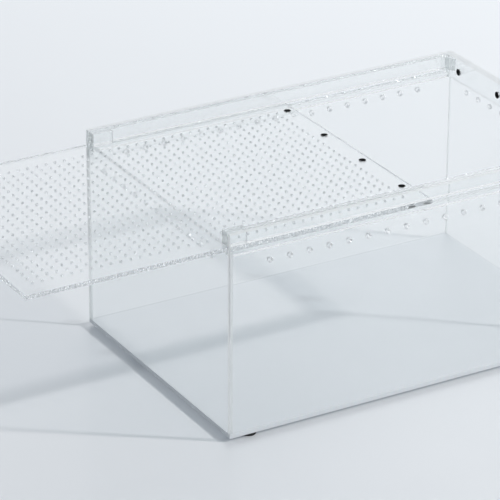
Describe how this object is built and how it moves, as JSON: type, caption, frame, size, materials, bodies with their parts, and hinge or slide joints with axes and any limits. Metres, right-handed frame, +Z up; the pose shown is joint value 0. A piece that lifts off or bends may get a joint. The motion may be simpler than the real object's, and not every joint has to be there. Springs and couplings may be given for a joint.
{
  "type": "clear acrylic insect cage with sliding lid",
  "caption": "Clear acrylic rearing cage on rubber feet, with vented walls and a perforated lid that slides out along grooved rails and closes against a magnetic stop bar.",
  "frame": {"origin": "centre of the base plate's underside; the feet reach 2.5 mm below it", "axes": "+X along the cage, from the end the lid is drawn out of to the end with the magnetic stop bar; +Y from the front long wall to the back one; +Z up"},
  "size_m": [0.4445, 0.2, 0.15],
  "materials": {
    "clear_acrylic": "clear cast sheet, polished faces and saw-cut greenish edges",
    "lid_acrylic": "clear cast sheet with laser-cut holes",
    "opal_acrylic": "opaque white sheet, gloss",
    "magnet_black": "black coated disc magnet, satin",
    "foot_rubber": "matt"
  },
  "bodies": {
    "box": {"base_plate": "opal_acrylic", "front_wall": "clear_acrylic", "back_wall": "clear_acrylic", "left_end_wall": "clear_acrylic", "right_end_wall": "clear_acrylic", "front_upper_rail": "clear_acrylic", "back_upper_rail": "clear_acrylic", "front_lower_rail": "clear_acrylic", "back_lower_rail": "clear_acrylic", "front_rail_end_block": "clear_acrylic", "back_rail_end_block": "clear_acrylic", "front_corner_gusset": "clear_acrylic", "back_corner_gusset": "clear_acrylic", "stop_bar": "clear_acrylic", "stop_magnet_1": "magnet_black", "stop_magnet_2": "magnet_black", "stop_magnet_3": "magnet_black", "stop_magnet_4": "magnet_black", "foot_front_left": "foot_rubber", "foot_front_right": "foot_rubber", "foot_back_left": "foot_rubber", "foot_back_right": "foot_rubber"},
    "lid": {"sliding_lid": "lid_acrylic", "lid_magnet_1": "magnet_black", "lid_magnet_2": "magnet_black", "lid_magnet_3": "magnet_black", "lid_magnet_4": "magnet_black"}
  },
  "joints": [
    {"name": "lid_slide", "type": "slide", "parent": "box", "child": "lid", "axis": [1, 0, 0], "range_m": [-0.1155, 0.1377]}
  ]
}
